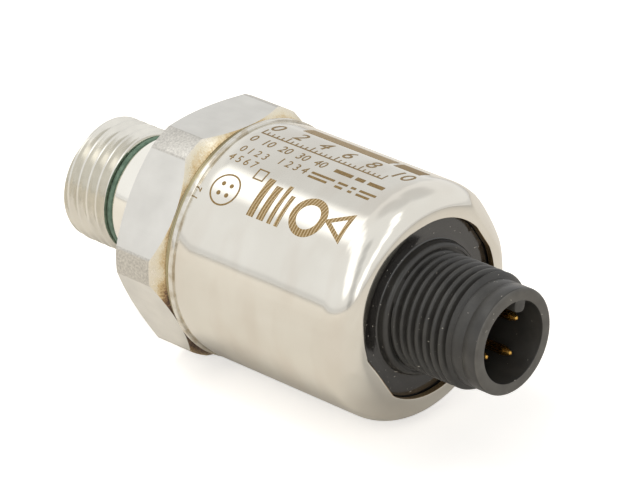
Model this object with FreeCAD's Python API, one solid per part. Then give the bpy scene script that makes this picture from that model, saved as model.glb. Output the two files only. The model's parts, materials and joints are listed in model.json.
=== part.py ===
"""Pressure transmitter with a G 1/4 process stud and a four-pole M12 plug, lying on its side.

Frame, millimetres: the origin is on the long axis, in the plane of the hexagon's face on the stud side.
+X runs along the axis to the plug, +Z is up, and one hexagon flat faces straight down.
Angles about the axis are measured from +Y towards +Z.
"""
import FreeCAD, Part

import math
import os

os.makedirs("parts", exist_ok=True)

V = FreeCAD.Vector

# --- process stud -------------------------------------------------------------------------------------------
thread_major = 13.157      # G 1/4
stud_length = 13.95        # hexagon face to the stud's end
stud_chamfer = 0.25
collar_dia = 12.8
collar_length = 6.3        # plain length behind the hexagon face
collar_bevel = 0.55
groove_dia = 10.9
groove_width = 0.8
port_dia = 4.0
port_chamfer = 0.4

# --- hexagon and welding neck -------------------------------------------------------------------------------
hex_across_flats = 23.8
hex_corner_dia = 26.1      # the bar's corners are turned down to this
hex_length = 6.6
stud_bevel_angle = 30.0    # degrees from the face, stud side
stud_bevel_width = 1.45    # measured along the radius
can_bevel_angle = 45.0     # degrees from the face, can side
can_bevel_width = 1.15
neck_inset = 0.35          # below the can's wall
neck_length = 0.85

# --- can ----------------------------------------------------------------------------------------------------
can_dia = 24.5
can_wall = 0.7
rim_height = 0.15          # above the can's wall
rim_width = 0.6
rim_edge = 0.1
rim_groove = 0.14
can_front = 30.7           # hexagon face to the can's front edge
shoulder_radius = 3.45
lip_width = 3.1            # from the can's wall in to the opening
high_flat_depth = 0.15     # each pressed flat, in from the round opening
low_flat_depth = 0.6
flats_angle = 34.0         # of the upper flat; the lower one faces it
dent_depth = 0.3
dent_slope = 45.0

# --- sensor cell --------------------------------------------------------------------------------------------
chamber_floor = 1.8
chamber_depth = 0.8        # from the chamber's floor to the cell's seat
chamber_land = 0.875       # between the chamber and the seal's groove
skirt_wall = 1.95          # the fitting's wall round the retaining ring's thread
ring_thread_depth = 0.6    # outside the cell's edge
cell_clearance = 0.1       # on the diameter
diaphragm_thick = 0.4
bond_thick = 0.1
bond_width = 2.5
cell_length = 6.2
cell_vent_dia = 1.2
face_seal_inset = 2.2      # from the cell's edge in to its O-ring's centre line
face_seal_section = 1.35
face_groove_side = 0.5     # free width beside the O-ring
skirt_length = 5.0         # how far the fitting's skirt reaches into the can

# --- clamping stack -----------------------------------------------------------------------------------------
washer_thick = 0.5
washer_clearance = 0.1
clamp_width = 2.8          # how far the washer and the ring cover the cell's edge
ring_length = 2.1
ring_slot = 1.6
ring_slot_depth = 0.8
carrier_clearance = 0.1
carrier_wall = 1.7
carrier_length = 3.6
carrier_feet = 4
carrier_gap = 3.0

# --- electronics --------------------------------------------------------------------------------------------
board_clearance = 0.3
board_thick = 1.0
lead_dia = 0.6
lead_inset = 1.7           # from the ring's bore in to the leads
lead_out = 0.6             # lead length past the board
chip_side = 5.0
chip_height = 0.9
regulator_size = (1.1, 3.0, 1.7)
regulator_inset = 3.0      # from the board's edge
capacitor_size = (1.25, 2.0, 1.25)
capacitor_count = 3
capacitor_pitch = 2.4
capacitor_inset = 2.8      # from the board's edge
ground_pin_dia = 0.8
ground_pin_inset = 0.8     # from the ring's bore
ground_pin_angle = 100.0
wire_dia = 0.9
wire_count = 3
wire_spread = 0.7          # how much further out than the leads the wires stand
wire_turn = 24.0           # degrees that each wire's far end is turned about the axis
spacer_wall = 1.0

# --- connector ----------------------------------------------------------------------------------------------
m12_dia = 12.0
sleeve_dia = 10.8
sleeve_length = 3.2
sleeve_round = 0.35
mouth_x = 41.6             # hexagon face to the plug's mouth
disc_clearance = 0.2       # to the can's opening
disc_flat_clearance = 0.25
disc_recess = 0.8          # below the can's front edge
foot_dia = 13.6            # plain ring at the barrel's foot
foot_height = 1.0
foot_bevel = 0.4
thread_relief = 0.25
socket_dia = 8.3
socket_depth = 8.2
key_angle = 76.0
key_width = 1.45
key_height = 1.15
key_round = 0.5
pin_dia = 1.0
pin_circle = 5.0
pin_count = 4
pin_recess = 1.4           # from the mouth to the pins' tips
pin_tail = 0.8             # length behind the pin board
flange_clearance = 0.05
flange_length = 3.1
flange_bevel = 1.0
rear_depth = 2.3           # from the flange's back to the pin board's seat
web_thick = 1.5
core_dia = 9.2
rear_skirt = 2.9           # wall behind the flange
pin_board_clearance = 0.2
pin_board_thick = 1.0
seal_section = 1.6
vent_dia = 0.8
membrane_dia = 2.8
membrane_thick = 0.3


def outline(start, steps):
    """A closed wire in the X-radius plane: a step is a corner (x, r), or (middle, end) of an arc."""
    edges = []
    here = V(start[0], start[1], 0)
    for step in steps + [start]:
        if isinstance(step[0], tuple):
            middle, end = step
            there = V(end[0], end[1], 0)
            edges.append(Part.Arc(here, V(middle[0], middle[1], 0), there).toShape())
        else:
            there = V(step[0], step[1], 0)
            if here.distanceToPoint(there) < 1e-9:
                continue
            edges.append(Part.LineSegment(here, there).toShape())
        here = there
    return Part.Wire(edges)


def turned(start, *steps):
    """A solid of revolution about the long axis."""
    face = Part.Face(outline(start, list(steps)))
    return face.revolve(V(0, 0, 0), V(1, 0, 0), 360)


def rod(x0, x1, dia, y=0.0, z=0.0):
    return Part.makeCylinder(dia / 2, x1 - x0, V(x0, y, z), V(1, 0, 0))


def tube(x0, x1, outer, inner):
    return rod(x0, x1, outer).cut(rod(x0, x1, inner))


def block(x0, x1, wide, high, y=0.0, z=0.0):
    return Part.makeBox(x1 - x0, wide, high, V(x0, y - wide / 2, z - high / 2))


def at_angle(shape, degrees):
    turned_shape = shape.copy()
    turned_shape.rotate(V(0, 0, 0), V(1, 0, 0), degrees)
    return turned_shape


def polar(radius, degrees):
    angle = math.radians(degrees)
    return radius * math.cos(angle), radius * math.sin(angle)


def o_ring(x, centre_dia, section):
    ring = Part.makeTorus(centre_dia / 2, section / 2, V(0, 0, 0), V(1, 0, 0))
    ring.translate(V(x, 0, 0))
    return ring


def flatted(x0, x1, radius, high_flat, low_flat):
    """A rod with two opposite flats, each at its own distance from the axis, at the flats' angle."""
    middle = (high_flat - low_flat) / 2
    between = block(x0, x1, high_flat + low_flat, 4 * radius, y=middle)
    return rod(x0, x1, 2 * radius).common(at_angle(between, flats_angle))


def arc_middle(centre, radius, first, last):
    """The point half way along an arc in the X-radius plane, angles in degrees from +X."""
    angle = math.radians((first + last) / 2)
    return centre[0] + radius * math.cos(angle), centre[1] + radius * math.sin(angle)


def save(name, shape):
    solid = shape.Solids[0] if len(shape.Solids) == 1 else None
    if solid is None or not solid.isValid():
        raise SystemExit(name + ": not one valid solid, " + str(len(shape.Solids)))
    solid.exportStep("parts/" + name + ".step")
    nodes[name] = solid


nodes = {}

# --- places along the axis that several pieces share --------------------------------------------------------
seat_x = chamber_floor + chamber_depth
rim_x = hex_length + neck_length
skirt_end = rim_x + skirt_length
cell_rear = seat_x + cell_length
washer_rear = cell_rear + washer_thick
ring_rear = washer_rear + ring_length
board_x = ring_rear + carrier_length
board_rear = board_x + board_thick
can_inner = can_dia - 2 * can_wall
neck_dia = can_dia - 2 * neck_inset
rim_dia = can_dia + 2 * rim_height
opening_r = can_dia / 2 - lip_width
high_flat = opening_r - high_flat_depth
low_flat = opening_r - low_flat_depth
disc_r = opening_r - disc_clearance
ring_thread_dia = can_inner - 2 * skirt_wall
cell_dia = ring_thread_dia - 2 * ring_thread_depth
clamp_bore = cell_dia - 2 * clamp_width
face_seal_dia = cell_dia - 2 * face_seal_inset
bond_inner_dia = cell_dia - 2 * bond_width
lead_circle = clamp_bore - 2 * lead_inset
wire_radius = lead_circle / 2 + wire_spread
spacer_outer = can_inner - 2 * flange_clearance
spacer_inner = spacer_outer - 2 * spacer_wall
board_dia = spacer_inner - 2 * board_clearance
shoulder_x = can_front - shoulder_radius
shoulder_r = can_dia / 2 - shoulder_radius
inner_radius = shoulder_radius - can_wall
disc_x = can_front - disc_recess
seal_r = disc_r + seal_section / 2
seal_reach = inner_radius - seal_section / 2
seal_x = shoulder_x + math.sqrt(seal_reach ** 2 - (seal_r - shoulder_r) ** 2)
flange_x = seal_x - seal_section / 2
flange_rear = flange_x - flange_length
socket_floor = mouth_x - socket_depth
web_rear = socket_floor - web_thick
pin_board_seat = flange_rear + rear_depth
pin_board_x = pin_board_seat - pin_board_thick

# --- process fitting ----------------------------------------------------------------------------------------
major = thread_major / 2
groove_end = -collar_length - collar_bevel
thread_end = groove_end - groove_width
stud = turned(
    (-stud_length, 0),
    (-stud_length, major - stud_chamfer),
    (-stud_length + stud_chamfer, major),
    (thread_end, major),
    (thread_end, groove_dia / 2),
    (groove_end, groove_dia / 2),
    (groove_end, collar_dia / 2 - collar_bevel * 0.6),
    (-collar_length, collar_dia / 2),
    (0, collar_dia / 2),
    (0, 0),
)

side = hex_across_flats / math.sqrt(3)
corners = []
for k in range(7):
    y, z = polar(side, 60 * k)
    corners.append(V(0, y, z))
bar = Part.Face(Part.makePolygon(corners)).extrude(V(hex_length, 0, 0))
corner_r = hex_corner_dia / 2
stud_drop = stud_bevel_width * math.tan(math.radians(stud_bevel_angle))
can_drop = can_bevel_width * math.tan(math.radians(can_bevel_angle))
turned_limits = turned(
    (0, 0),
    (0, corner_r - stud_bevel_width),
    (stud_drop, corner_r),
    (hex_length - can_drop, corner_r),
    (hex_length, corner_r - can_bevel_width),
    (hex_length, 0),
)
hexagon = bar.common(turned_limits)
neck = rod(hex_length, rim_x, neck_dia)
skirt = rod(hex_length, skirt_end, can_inner)

port = rod(-stud_length, chamber_floor, port_dia)
port_mouth = Part.makeCone(
    port_dia / 2 + port_chamfer, port_dia / 2, port_chamfer, V(-stud_length, 0, 0), V(1, 0, 0)
)
groove_half = (face_seal_section + face_groove_side) / 2
chamber_dia = face_seal_dia - 2 * groove_half - 2 * chamber_land
chamber = rod(chamber_floor, seat_x, chamber_dia)
face_groove = tube(
    seat_x - face_seal_section,
    seat_x,
    face_seal_dia + 2 * groove_half,
    face_seal_dia - 2 * groove_half,
)
cell_bore = rod(seat_x, washer_rear, cell_dia + cell_clearance)
ring_bore = rod(washer_rear, skirt_end, ring_thread_dia)
fitting = stud.fuse([hexagon, neck, skirt]).removeSplitter()
for hollow in (port, port_mouth, chamber, face_groove, cell_bore, ring_bore):
    fitting = fitting.cut(hollow)
save("process_fitting", fitting)

seal_top = major - 0.18
save("stud_seal_ring", turned(
    (thread_end, groove_dia / 2),
    (thread_end, seal_top - 0.12),
    ((thread_end + groove_width / 2, seal_top), (groove_end, seal_top - 0.12)),
    (groove_end, groove_dia / 2),
))

# --- can ----------------------------------------------------------------------------------------------------
centre = (shoulder_x, shoulder_r)
lip_r = low_flat - 0.5
groove_x = rim_x + rim_width
can = turned(
    (rim_x, can_inner / 2),
    (rim_x, rim_dia / 2 - rim_edge),
    (rim_x + rim_edge, rim_dia / 2),
    (groove_x - rim_edge / 2, rim_dia / 2),
    (groove_x + rim_groove / 2, can_dia / 2 - rim_groove),
    (groove_x + rim_groove * 1.5, can_dia / 2),
    (shoulder_x, can_dia / 2),
    (arc_middle(centre, shoulder_radius, 0, 90), (can_front, shoulder_r)),
    (can_front, lip_r),
    (can_front - can_wall, lip_r),
    (can_front - can_wall, shoulder_r),
    (arc_middle(centre, inner_radius, 0, 90), (shoulder_x, can_inner / 2)),
)
can = can.cut(flatted(shoulder_x, can_front + 1, opening_r, high_flat, low_flat))
slope = math.radians(dent_slope)
for turn in (0, 180):
    depth = shoulder_radius - dent_depth
    foot = V(
        shoulder_x + depth * math.sin(slope), shoulder_r + depth * math.cos(slope), 0
    )
    dent = Part.makeCylinder(
        shoulder_radius * 2, shoulder_radius, foot, V(math.sin(slope), math.cos(slope), 0)
    )
    can = can.cut(at_angle(dent, flats_angle + turn))
save("can_housing", can)

# --- connector body -----------------------------------------------------------------------------------------
flange_r = can_inner / 2 - flange_clearance
flange = turned(
    (flange_rear, 0),
    (flange_rear, flange_r),
    (flange_x - flange_bevel, flange_r),
    (flange_x, flange_r - flange_bevel),
    (flange_x, 0),
)
disc = flatted(flange_x, disc_x, disc_r, high_flat - disc_flat_clearance, low_flat - disc_flat_clearance)
barrel_end = mouth_x - sleeve_length
sleeve_r = sleeve_dia / 2
round_centre = (mouth_x - sleeve_round, sleeve_r - sleeve_round)
barrel = turned(
    (disc_x, 0),
    (disc_x, foot_dia / 2),
    (disc_x + foot_height - foot_bevel, foot_dia / 2),
    (disc_x + foot_height, m12_dia / 2),
    (barrel_end - thread_relief, m12_dia / 2),
    (barrel_end, sleeve_r),
    (mouth_x - sleeve_round, sleeve_r),
    (
        arc_middle(round_centre, sleeve_round, 0, 90),
        (mouth_x, sleeve_r - sleeve_round),
    ),
    (mouth_x, 0),
)
body = flange.fuse([disc, barrel]).removeSplitter()
socket = rod(socket_floor, mouth_x, socket_dia)
key = block(socket_floor, mouth_x, key_height * 2, key_width, y=socket_dia / 2)
tip_edges = []
for edge in key.Edges:
    if edge.BoundBox.YMax < socket_dia / 2 - key_height / 2 and edge.BoundBox.XLength > 1:
        tip_edges.append(edge)
key = key.makeFillet(key_round, tip_edges)
socket = socket.cut(at_angle(key, key_angle))
rear_pocket_dia = 2 * (flange_r - rear_skirt)
pin_board_dia = rear_pocket_dia - 2 * pin_board_clearance
rear_pocket = rod(flange_rear, pin_board_seat, rear_pocket_dia)
core = rod(pin_board_seat, web_rear, core_dia)
vent = rod(web_rear, socket_floor, vent_dia)
for hollow in (socket, rear_pocket, core, vent):
    body = body.cut(hollow)

pin_tip = mouth_x - pin_recess
pins = []
for k in range(pin_count):
    y, z = polar(pin_circle / 2, key_angle + 45 + 360 / pin_count * k)
    shank = rod(pin_board_x - pin_tail, pin_tip - pin_dia / 2, pin_dia, y, z)
    nose = Part.makeSphere(pin_dia / 2, V(pin_tip - pin_dia / 2, y, z))
    pin = shank.fuse(nose).removeSplitter()
    pins.append(pin)
    body = body.cut(rod(web_rear, socket_floor, pin_dia, y, z))
    save("contact_pin_" + str(k + 1), pin)
save("connector_body", body)

save("connector_seal", o_ring(seal_x, 2 * seal_r, seal_section))
save("vent_membrane", rod(web_rear - membrane_thick, web_rear, membrane_dia))

pin_board = rod(pin_board_x, pin_board_seat, pin_board_dia)
for pin in pins:
    pin_board = pin_board.cut(pin)
pin_board = pin_board.cut(rod(pin_board_x, pin_board_seat, membrane_dia))
save("pin_board", pin_board)

# --- sensor cell --------------------------------------------------------------------------------------------
save("cell_seal", o_ring(seat_x - face_seal_section / 2, face_seal_dia, face_seal_section))
save("cell_diaphragm", rod(seat_x, seat_x + diaphragm_thick, cell_dia))
bond_x = seat_x + diaphragm_thick
save("cell_glass_bond", tube(bond_x, bond_x + bond_thick, cell_dia, bond_inner_dia))
cell_x = bond_x + bond_thick
save("cell_body", tube(cell_x, cell_rear, cell_dia, cell_vent_dia))

# --- clamping stack -----------------------------------------------------------------------------------------
save("pressure_washer", tube(cell_rear, washer_rear, cell_dia - 2 * washer_clearance, clamp_bore))
ring = tube(washer_rear, ring_rear, ring_thread_dia, clamp_bore)
ring = ring.cut(block(ring_rear - ring_slot_depth, ring_rear, ring_thread_dia + 2, ring_slot))
save("retaining_ring", ring)

carrier_outer = ring_thread_dia - 2 * carrier_clearance
carrier = tube(ring_rear, board_x, carrier_outer, carrier_outer - 2 * carrier_wall)
for k in range(carrier_feet):
    gap = block(ring_rear, board_x - carrier_length / 2, 8, carrier_gap, y=carrier_outer / 2)
    carrier = carrier.cut(at_angle(gap, 45 + 360 / carrier_feet * k))
save("board_carrier", carrier)

# --- electronics --------------------------------------------------------------------------------------------
board = rod(board_x, board_rear, board_dia)
for k in range(4):
    y, z = polar(lead_circle / 2, 90 * k)
    lead = rod(cell_rear, board_rear + lead_out, lead_dia, y, z)
    board = board.cut(lead)
    save("cell_lead_" + str(k + 1), lead)
save("main_board", board)
save("signal_chip", block(board_rear, board_rear + chip_height, chip_side, chip_side))
deep, wide, high = regulator_size
save("voltage_regulator", block(board_rear, board_rear + deep, wide, high, z=regulator_inset - board_dia / 2))
deep, wide, high = capacitor_size
for k in range(capacitor_count):
    z = (k - (capacitor_count - 1) / 2) * capacitor_pitch
    save(
        "capacitor_" + str(k + 1),
        block(board_rear, board_rear + deep, wide, high, y=capacitor_inset - board_dia / 2, z=z),
    )
y, z = polar(clamp_bore / 2 + ground_pin_inset, ground_pin_angle)
save("ground_pin", rod(ring_rear, board_x, ground_pin_dia, y, z))


def wire(number, start_angle):
    """A wire from board to board: two straight ends joined by a slanting middle with round bends."""
    y0, z0 = polar(wire_radius, start_angle)
    y1, z1 = polar(wire_radius, start_angle + wire_turn)
    span = pin_board_x - board_rear
    points = [
        V(board_rear, y0, z0),
        V(board_rear + span * 0.3, y0, z0),
        V(board_rear + span * 0.7, y1, z1),
        V(pin_board_x, y1, z1),
    ]
    bend = span * 0.13
    edges = []
    here = points[0]
    for before, corner, after in zip(points, points[1:], points[2:]):
        inward = (before - corner).normalize()
        outward = (after - corner).normalize()
        first = corner + inward * bend
        last = corner + outward * bend
        half = inward.getAngle(outward) / 2
        radius = bend * math.tan(half)
        hub = corner + (inward + outward).normalize() * (bend / math.cos(half))
        middle = hub + (corner - hub).normalize() * radius
        edges.append(Part.LineSegment(here, first).toShape())
        edges.append(Part.Arc(first, middle, last).toShape())
        here = last
    edges.append(Part.LineSegment(here, points[-1]).toShape())
    path = Part.Wire(edges)
    section = Part.Wire(Part.makeCircle(wire_dia / 2, points[0], V(1, 0, 0)))
    shape = path.makePipeShell([section], True, False)
    print("wire", number, "volume", round(shape.Volume, 3), "length", round(path.Length, 3))
    save("wire_" + str(number), shape)


for k in range(wire_count):
    wire(k + 1, 15 + 60 * k)

# --- spacer tube from the fitting's skirt to the connector flange -------------------------------------------
save("spacer_tube", tube(skirt_end, flange_rear, spacer_outer, spacer_inner))

total = 0
for name, shape in nodes.items():
    total += shape.Volume
print(len(nodes), "nodes, volume", round(total, 1), "mm3, from", -stud_length, "to", mouth_x)
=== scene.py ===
# %% [markdown]
# # A pressure transmitter
#
# The object is a stainless steel pressure transmitter, about 56 mm long, lying on its side. It has a
# threaded stud, a hexagon, a pressed steel can and a black moulded plug with four gold pins. The solids
# of the construction are loaded first, and every piece that is made here takes its place from them.

# %% Load the construction
import bpy
import bmesh
import json
import math
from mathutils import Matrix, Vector


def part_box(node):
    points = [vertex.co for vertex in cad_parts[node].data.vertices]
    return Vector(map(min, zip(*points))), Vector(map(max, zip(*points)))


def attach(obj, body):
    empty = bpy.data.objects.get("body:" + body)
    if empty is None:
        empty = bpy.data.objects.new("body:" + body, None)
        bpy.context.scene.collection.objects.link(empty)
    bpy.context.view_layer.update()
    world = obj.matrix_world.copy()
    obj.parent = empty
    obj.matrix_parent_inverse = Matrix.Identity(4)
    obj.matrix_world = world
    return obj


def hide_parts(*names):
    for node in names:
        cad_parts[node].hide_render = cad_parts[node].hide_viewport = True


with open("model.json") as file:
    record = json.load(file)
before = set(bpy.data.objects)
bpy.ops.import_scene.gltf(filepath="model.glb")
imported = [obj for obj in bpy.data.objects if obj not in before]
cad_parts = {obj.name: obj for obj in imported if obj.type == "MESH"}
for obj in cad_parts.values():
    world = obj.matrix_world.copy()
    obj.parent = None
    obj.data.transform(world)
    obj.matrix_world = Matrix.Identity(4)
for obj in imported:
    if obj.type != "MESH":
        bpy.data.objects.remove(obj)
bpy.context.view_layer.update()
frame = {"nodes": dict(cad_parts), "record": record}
root = "root"
mm = 0.001

# %% [markdown]
# The places that the pieces share come from the construction's own boxes, so a change of size there
# moves the finished surfaces too. This cell is in metres; the drawings further down are in millimetres.

# %% Places along the axis
def span(node):
    low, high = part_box(node)
    return low.x, high.x

stud_end, skirt_end = span("process_fitting")
can_back, can_front = span("can_housing")
flange_back, plug_mouth = span("connector_body")
seal_back, seal_front = span("stud_seal_ring")
cell_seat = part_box("cell_diaphragm")[0].x
rim_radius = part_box("can_housing")[1].y
print("stud end", stud_end, "can", can_back, can_front, "mouth", plug_mouth)

# %% [markdown]
# A few small helpers do most of the selecting. Loading leaves the construction selected, and a new
# primitive is selected all over, so each step starts by clearing what is selected and then picks the
# vertices, edges or faces it needs by their place.

# %% Selecting by place
def clear():
    if bpy.context.object and bpy.context.object.mode != "OBJECT":
        bpy.ops.object.mode_set(mode="OBJECT")
    bpy.ops.object.select_all(action="DESELECT")


def only(piece):
    clear()
    piece.select_set(True)
    bpy.context.view_layer.objects.active = piece


def pick(kind, test):
    """In edit mode, select the vertices, edges or faces that pass a test of their middle and themselves."""
    bpy.ops.mesh.select_mode(type=kind)
    bpy.ops.mesh.select_all(action="DESELECT")
    mesh = bmesh.from_edit_mesh(bpy.context.object.data)
    items = {"VERT": mesh.verts, "EDGE": mesh.edges, "FACE": mesh.faces}[kind]
    count = 0
    for item in items:
        points = [item.co] if kind == "VERT" else [v.co for v in item.verts]
        middle = sum(points, Vector()) / len(points)
        if test(middle, item):
            item.select_set(True)
            count += 1
    mesh.select_flush_mode()
    bmesh.update_edit_mesh(bpy.context.object.data)
    return count


def radius(point):
    return math.hypot(point.y, point.z)


def start_edit(piece):
    """Open a piece in edit mode, with all of it selected."""
    only(piece)
    bpy.ops.object.mode_set(mode="EDIT")
    bpy.ops.mesh.select_all(action="SELECT")


def end_edit():
    bpy.ops.object.mode_set(mode="OBJECT")


def settle(piece):
    """Put the object at the origin, unturned and unscaled, with its place in its mesh."""
    only(piece)
    bpy.ops.object.transform_apply(location=True, rotation=True, scale=True)


def apply_modifier(piece, kind, **settings):
    only(piece)
    modifier = piece.modifiers.new(kind.title(), kind)
    for name, value in settings.items():
        setattr(modifier, name, value)
    bpy.ops.object.modifier_apply(modifier=modifier.name)


def tidy_normals(piece, merge=2e-6):
    """Merge vertices that lie on each other, then turn every face outwards."""
    start_edit(piece)
    bpy.ops.mesh.remove_doubles(threshold=merge)
    bpy.ops.mesh.normals_make_consistent(inside=False)
    end_edit()


def smooth(piece, degrees=32):
    only(piece)
    bpy.ops.object.shade_smooth_by_angle(angle=math.radians(degrees))


# %% [markdown]
# Most of this object is made on a lathe. A lathe piece is half a cross-section turned about the long
# axis, so it is drawn as a line of points, extruded one after another from a single vertex, and then
# spun. A rounded corner is a few more points on an arc, which the next helper gives.

# %% Drawing and spinning a cross-section
def arc(centre_x, centre_r, size, first, last, steps):
    """Points (x, r) in millimetres on an arc, with angles in degrees from +X towards the outside."""
    points = []
    for k in range(steps + 1):
        angle = math.radians(first + (last - first) * k / steps)
        points.append((centre_x + size * math.cos(angle), centre_r + size * math.sin(angle)))
    return points


def draw(name, points, closed=True):
    """A line of points (x, r) in millimetres, extruded vertex by vertex."""
    clear()
    x, r = points[0]
    bpy.ops.mesh.primitive_plane_add(size=0.001, location=(x * mm, 0, r * mm))
    piece = bpy.context.object
    piece.name = name
    settle(piece)
    start_edit(piece)
    bpy.ops.mesh.select_mode(type="VERT")
    bpy.ops.mesh.select_all(action="SELECT")
    bpy.ops.mesh.merge(type="CENTER")
    for (x0, r0), (x1, r1) in zip(points, points[1:]):
        bpy.ops.mesh.extrude_vertices_move(
            TRANSFORM_OT_translate={"value": ((x1 - x0) * mm, 0, (r1 - r0) * mm)}
        )
    if closed:
        first, last = (Vector((x, 0, r)) for x, r in (points[0], points[-1]))
        pick("VERT", lambda p, v: min((p / mm - first).length, (p / mm - last).length) < 1e-3)
        bpy.ops.mesh.edge_face_add()
    end_edit()
    return piece


def turn_on_lathe(name, points, sides=160, closed=True):
    """Spin a cross-section once round the long axis."""
    piece = draw(name, points, closed)
    start_edit(piece)
    bpy.ops.mesh.spin(steps=sides, angle=math.tau, center=(0, 0, 0), axis=(1, 0, 0))
    end_edit()
    tidy_normals(piece)
    print(name, len(piece.data.polygons), "faces")
    return piece


def combine(piece, tool, operation):
    """Cut with, keep the common part of, or join a second closed shape, and delete that shape."""
    apply_modifier(piece, "BOOLEAN", object=tool, operation=operation, solver="EXACT")
    bpy.data.objects.remove(tool, do_unlink=True)


# %% [markdown]
# A thread is cut as it is on the machine: a tool with the shape of one groove runs along the work on a
# helix. The tool's outline is drawn once, the Screw modifier carries it along the axis, one pitch a
# turn, and the result is taken away from the plain turned piece. The tool is trimmed square at both
# ends. The stud's tool stops just past the relief groove, in a wall that the seal ring hides, and the
# plug's tool stops where the sleeve begins.

# %% The thread tool
def thread_tool(name, start, end, pitch, root, major, flank, root_round, crest_round, phase, steps):
    """A helical cutter, in millimetres: flank is half the thread angle in degrees."""
    half_land, stand_off, spare_turns = 0.04, 0.3, 4
    slope = math.tan(math.radians(flank))
    outline = []
    hub = root + root_round
    for k in range(5):
        angle = math.radians(-(90 - flank) + (180 - 2 * flank) * k / 4)
        outline.append((root_round * math.sin(angle), hub - root_round * math.cos(angle)))
    foot_half, foot_r = outline[-1]
    shoulder_r = major - crest_round
    shoulder_half = foot_half + (shoulder_r - foot_r) * slope
    top_half = pitch / 2 - half_land
    bend_half, bend_r = (shoulder_half + top_half) / 2 - 0.01, major - crest_round * 0.22
    right = [(shoulder_half, shoulder_r), (bend_half, bend_r),
             (top_half, major + 0.002), (top_half, major + stand_off)]
    outline += right + [(-half, r) for half, r in reversed(right)]
    turns = int((end - start) / pitch) + spare_turns
    x0 = start - 1.5 * pitch + phase
    tool = draw(name, [(x0 + half, r) for half, r in outline])
    apply_modifier(
        tool, "SCREW", axis="X", angle=math.tau, steps=steps, render_steps=steps,
        screw_offset=pitch * mm, iterations=turns, use_normal_calculate=True,
    )
    start_edit(tool)
    bpy.ops.mesh.remove_doubles(threshold=1e-6)
    bpy.ops.mesh.select_all(action="DESELECT")
    bpy.ops.mesh.select_non_manifold()
    bpy.ops.mesh.edge_face_add()
    bpy.ops.mesh.fill_holes(sides=0)
    for plane_x, outer in ((start, False), (end, True)):
        bpy.ops.mesh.select_all(action="SELECT")
        bpy.ops.mesh.bisect(
            plane_co=(plane_x * mm, 0, 0), plane_no=(1, 0, 0), use_fill=True,
            clear_outer=outer, clear_inner=not outer, threshold=1e-7,
        )
    end_edit()
    tidy_normals(tool, 1e-7)
    return tool


# %% [markdown]
# ## Materials
#
# Colours are written as hex values, as a paint maker would, and one function turns them to the linear
# numbers that the shader works with. A second function adds a node with its settings and links, so that
# each material reads as a short list of what it is made of.

# %% Colour and node helpers
def linear(hex_value):
    parts = [int(hex_value[k:k + 2], 16) / 255 for k in (1, 3, 5)]
    return tuple(c / 12.92 if c <= 0.04045 else ((c + 0.055) / 1.055) ** 2.4 for c in parts) + (1.0,)


def add_node(material, kind, links=None, **settings):
    """Add a node; settings are its properties or input values, links say which output feeds an input."""
    node = material.node_tree.nodes.new(kind)
    for name, value in settings.items():
        if hasattr(node, name):
            setattr(node, name, value)
    for name, value in settings.items():
        if not hasattr(node, name):
            node.inputs[name.replace("_", " ")].default_value = value
    for name, source in (links or {}).items():
        material.node_tree.links.new(source, node.inputs[name])
    return node


def new_material(name, **surface):
    """A Principled material, with its constant values set on the shader's own sockets."""
    material = bpy.data.materials.new(name)
    material.use_nodes = True
    shader = material.node_tree.nodes["Principled BSDF"]
    for socket, value in surface.items():
        shader.inputs[socket.replace("_", " ")].default_value = value
    place = add_node(material, "ShaderNodeTexCoord").outputs["Object"]
    return material, shader, place


def feed(material, shader, **links):
    """Link outputs to the shader's sockets, by their names."""
    for socket, source in links.items():
        material.node_tree.links.new(source, shader.inputs[socket.replace("_", " ")])


def ramp(material, source, stops):
    """A colour ramp through (position, hex) stops."""
    node = add_node(material, "ShaderNodeValToRGB", {0: source})
    elements = node.color_ramp.elements
    while len(elements) < len(stops):
        elements.new(0.5)
    for element, (position, colour) in zip(elements, stops):
        element.position = position
        element.color = linear(colour)
    return node.outputs["Color"]


def stretch(material, source, low, high, to_low=0.0, to_high=1.0):
    """Carry a value from one range to another."""
    node = add_node(material, "ShaderNodeMapRange", {0: source})
    node.inputs[1].default_value, node.inputs[2].default_value = low, high
    node.inputs[3].default_value, node.inputs[4].default_value = to_low, to_high
    return node.outputs[0]


def maths(material, operation, first, second=0.0):
    """One operation on two values, each a number or a socket."""
    node = add_node(material, "ShaderNodeMath", operation=operation)
    for k, value in enumerate((first, second)):
        if isinstance(value, (int, float)):
            node.inputs[k].default_value = value
        else:
            material.node_tree.links.new(value, node.inputs[k])
    return node.outputs[0]


def noise(material, place, grain_mm, detail=2.0, stretch_by=(1, 1, 1)):
    """Noise with grains of a real size; stretch_by makes them longer along X, Y or Z."""
    scale = tuple(1 / s for s in stretch_by)
    mapped = add_node(material, "ShaderNodeMapping", {"Vector": place}, Scale=scale).outputs[0]
    texture = add_node(
        material, "ShaderNodeTexNoise", {"Vector": mapped}, Scale=1 / (grain_mm * mm), Detail=detail
    )
    return texture.outputs["Fac"]


def bump(material, height, depth_mm, strength=1.0, under=None):
    """A relief of a real depth, laid over another relief where one is given."""
    links = {"Height": height} if under is None else {"Height": height, "Normal": under}
    node = add_node(material, "ShaderNodeBump", links, Strength=strength, Distance=depth_mm * mm)
    return node.outputs["Normal"]


def mixed(material, factor, first, second):
    """Two colours, each a hex value or a socket, mixed by a factor."""
    node = add_node(material, "ShaderNodeMix", {0: factor}, data_type="RGBA")
    for socket, value in ((node.inputs[6], first), (node.inputs[7], second)):
        if isinstance(value, str):
            socket.default_value = linear(value)
        else:
            material.node_tree.links.new(value, socket)
    return node.outputs[2]


# %% [markdown]
# The stud is turned stainless steel. The tool leaves rings about 0.1 mm apart, which spread a highlight
# into a soft band. They are drawn 0.16 mm apart so that they show, as noise that changes along the axis
# and not round it.

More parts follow.
